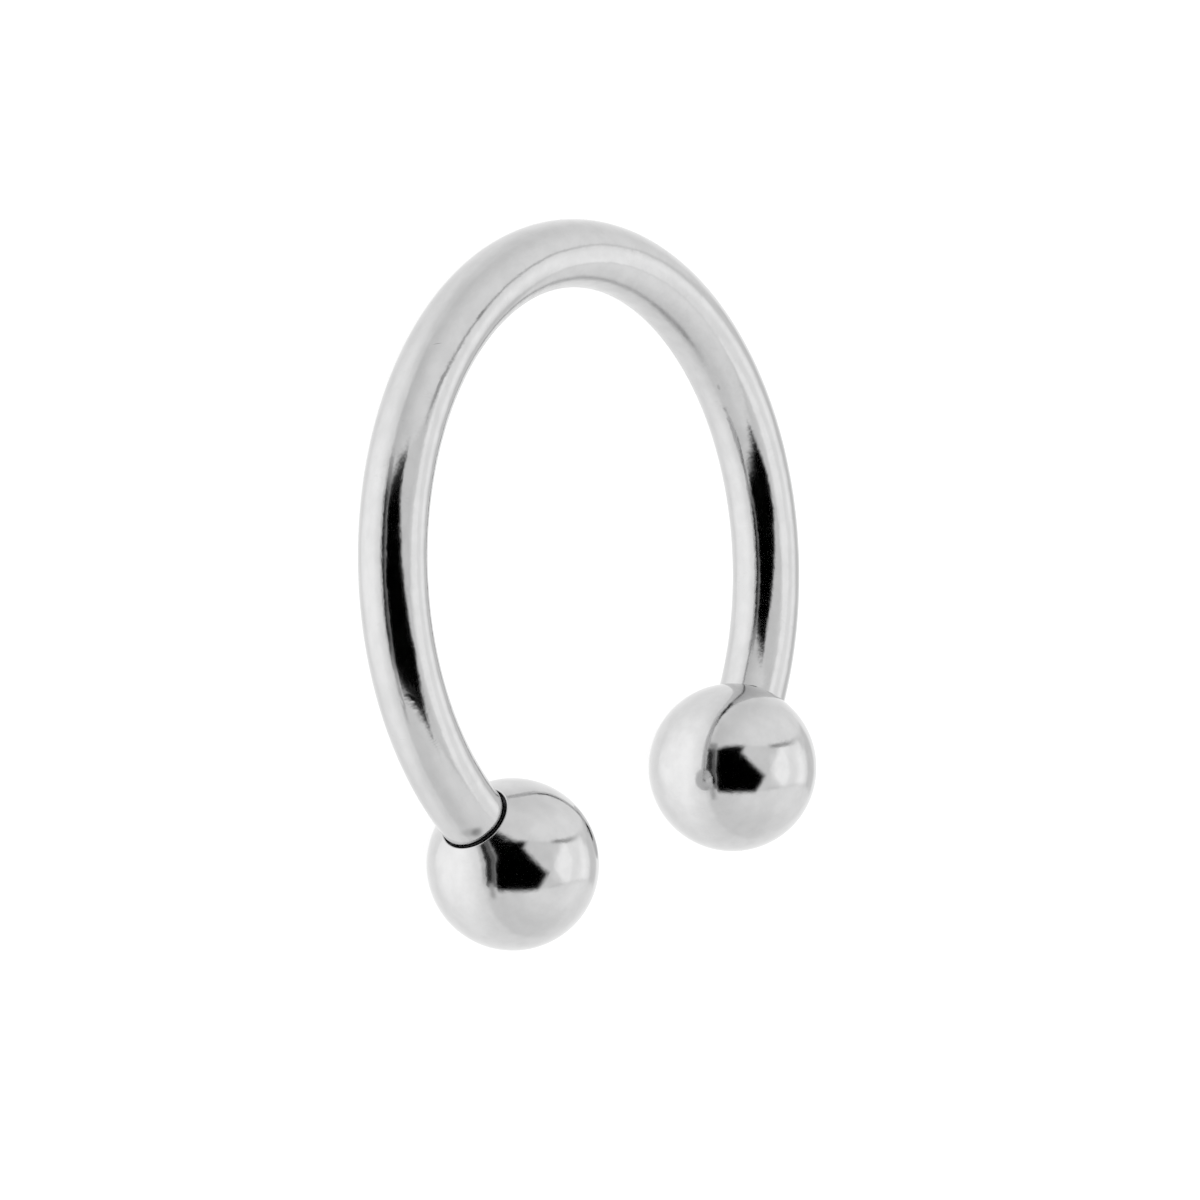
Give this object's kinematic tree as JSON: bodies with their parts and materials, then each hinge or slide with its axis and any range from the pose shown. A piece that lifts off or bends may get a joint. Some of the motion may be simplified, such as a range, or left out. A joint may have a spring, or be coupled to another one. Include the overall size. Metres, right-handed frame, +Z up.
{
  "type": "horseshoe barbell",
  "caption": "Open horseshoe-shaped steel barbell of round wire, closed by a screw-on ball on each end, worn through a piercing.",
  "frame": {"origin": "middle of the base of the outer box, on the surface that the barbell lies on", "axes": "+X from the left ball to the right ball; +Y from the open mouth to the far side of the bend; +Z up, near the normal of the bend's plane"},
  "size_m": [0.0162, 0.016, 0.004],
  "materials": {
    "bar_steel": "mirror-polished steel wire with fine handling marks",
    "ball_steel": "mirror-polished steel"
  },
  "bodies": {
    "bar": {"curved_bar": "bar_steel"},
    "left_ball": {"left_ball": "ball_steel"},
    "right_ball": {"right_ball": "ball_steel"}
  },
  "joints": [
    {"name": "left_ball_unscrew", "type": "slide", "parent": "bar", "child": "left_ball", "axis": [0.6375, -0.7673, 0.0694], "range_m": [0, 0.003]},
    {"name": "right_ball_unscrew", "type": "slide", "parent": "bar", "child": "right_ball", "axis": [-0.6375, -0.7673, 0.0694], "range_m": [0, 0.003]}
  ]
}
